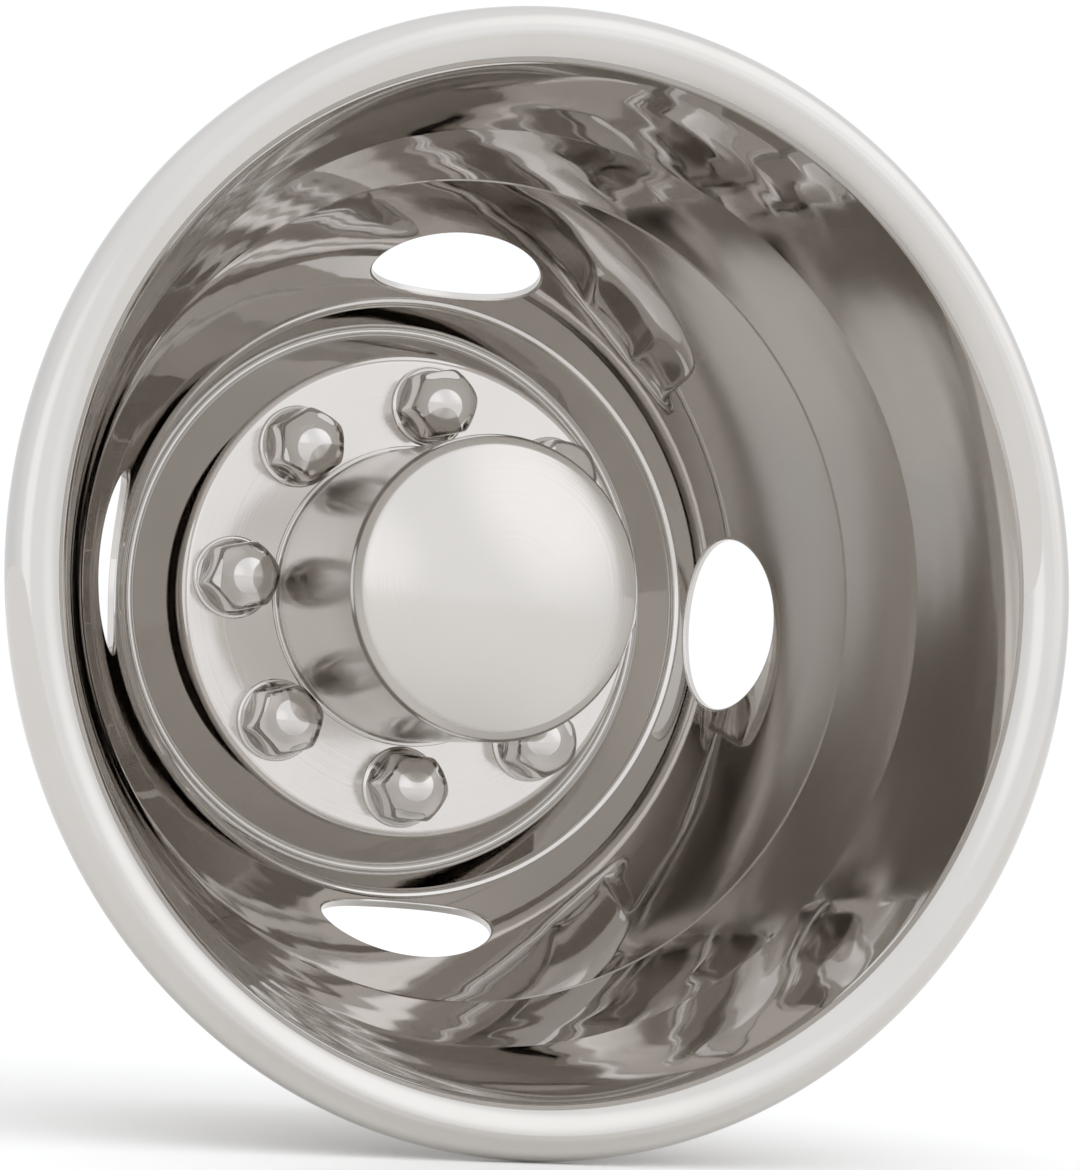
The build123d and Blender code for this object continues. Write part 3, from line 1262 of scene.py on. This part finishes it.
@dataclass
class Studio:
    """Pale floor, soft light and the camera.

    Attributes:
        floor_gap: Distance of the floor below the lip, in metres.
        floor_reach: Half width of the floor, in metres.
        paper_lit: Colour of the floor's paper as it lights the object.
        paper_seen: Colour of the paper as the eye and the metal see it.
        eye: Camera place in metres.
        right: Camera's right.
        up: Camera's up.
        lens: Focal length.
        sensor: Width of the sensor.
        mirror_bounces: Reflections followed between the bowl's walls.
        tent_colour: Slightly cool daylight through white cloth.
        glows: Where the tent is lit more strongly.
    """

    floor_gap: float = 0.0002
    floor_reach: float = 8.0
    paper_lit: str = "#e2e1e0"
    paper_seen: str = "#fbfaf8"
    eye: tuple[float, float, float] = (-0.50588, -1.33248, -0.09672)
    right: tuple[float, float, float] = (0.91605, -0.39415, 0.07414)
    up: tuple[float, float, float] = (-0.09722, -0.03889, 0.99450)
    lens: float = 110.17
    sensor: float = 36.0
    mirror_bounces: int = 16
    tent_colour: tuple[float, float, float, float] = (1.0, 1.015, 1.04, 1.0)
    glows: tuple[Glow, ...] = (
        Glow(towards=(0.0, -0.8, 0.6), edge=-0.3, heart=0.9, gain=0.18),
        Glow(towards=(0.58, -0.61, 0.54), edge=0.8, heart=0.99, gain=0.3),
        Glow(towards=(-0.52, -0.84, 0.1), edge=0.88, heart=0.99, gain=0.22))

    def add_camera(self) -> None:
        """Adds the camera at the photograph's viewing angle."""
        data = bpy.data.cameras.new("camera")
        data.sensor_fit = "HORIZONTAL"
        data.sensor_width = self.sensor
        data.lens = self.lens
        camera = bpy.data.objects.new("camera", data)
        right, up = np.array(self.right), np.array(self.up)
        turn = np.column_stack([right, up, np.cross(right, up)])
        camera.matrix_world = Matrix.Translation(self.eye) @ Matrix(turn.tolist()).to_4x4()
        bpy.context.scene.collection.objects.link(camera)
        bpy.context.scene.camera = camera

    def add_floor(self) -> None:
        """Adds the paper floor."""
        level = CAD_BOX[0][2] - self.floor_gap
        reach = self.floor_reach
        mesh = bpy.data.meshes.new("floor")
        mesh.from_pydata(
            [(-reach, -reach, level), (reach, -reach, level), (reach, reach, level), (-reach, reach, level)],
            [], [(0, 1, 2, 3)])
        floor = bpy.data.objects.new("floor", mesh)
        bpy.context.scene.collection.objects.link(floor)
        material = bpy.data.materials.new("studio_paper")
        tree = bare_tree(material)
        colour = add_node(tree, "ShaderNodeMix", {
            "Factor": seen_directly(tree), MIX_A: linear(self.paper_lit), MIX_B: linear(self.paper_seen)},
            data_type="RGBA")
        paper = add_node(tree, "ShaderNodeBsdfDiffuse", {"Color": colour.outputs[MIX_RESULT]})
        add_node(tree, "ShaderNodeOutputMaterial", {"Surface": paper.outputs[0]})
        mesh.materials.append(material)

    def add_world(self) -> None:
        """Lights the scene from all round, white behind the object."""
        world = bpy.data.worlds.new("studio_tent")
        bpy.context.scene.world = world
        tree = bare_tree(world)
        way = add_node(tree, "ShaderNodeTexCoord").outputs["Generated"]
        level: bpy.types.NodeSocket | float = 1.0
        for glow in self.glows:
            level = add_node(tree, "ShaderNodeMath", {0: level, 1: glow.level(tree, way)}, operation="ADD").outputs[0]
        tent = add_node(tree, "ShaderNodeBackground", {"Color": self.tent_colour, "Strength": level})
        add_node(tree, "ShaderNodeOutputWorld", {"Surface": tent.outputs[0]})

    def build(self) -> None:
        """Sets the whole studio."""
        scene = bpy.context.scene
        scene.view_settings.view_transform = "Standard"
        scene.cycles.max_bounces = self.mirror_bounces
        scene.cycles.glossy_bounces = self.mirror_bounces
        self.add_world()
        self.add_floor()
        self.add_camera()


def main() -> None:
    """Builds and dresses every piece, then the studio."""
    logging.basicConfig(level=logging.INFO, format="%(name)s %(message)s")
    for assembly in (WheelLiner(), LugPlate(), HubCap(), NutCovers()):
        piece = assembly.dress()
        LOG.info("%s is made by %s", piece.name, type(assembly).__name__)
    Studio().build()


if __name__ == "__main__":
    main()
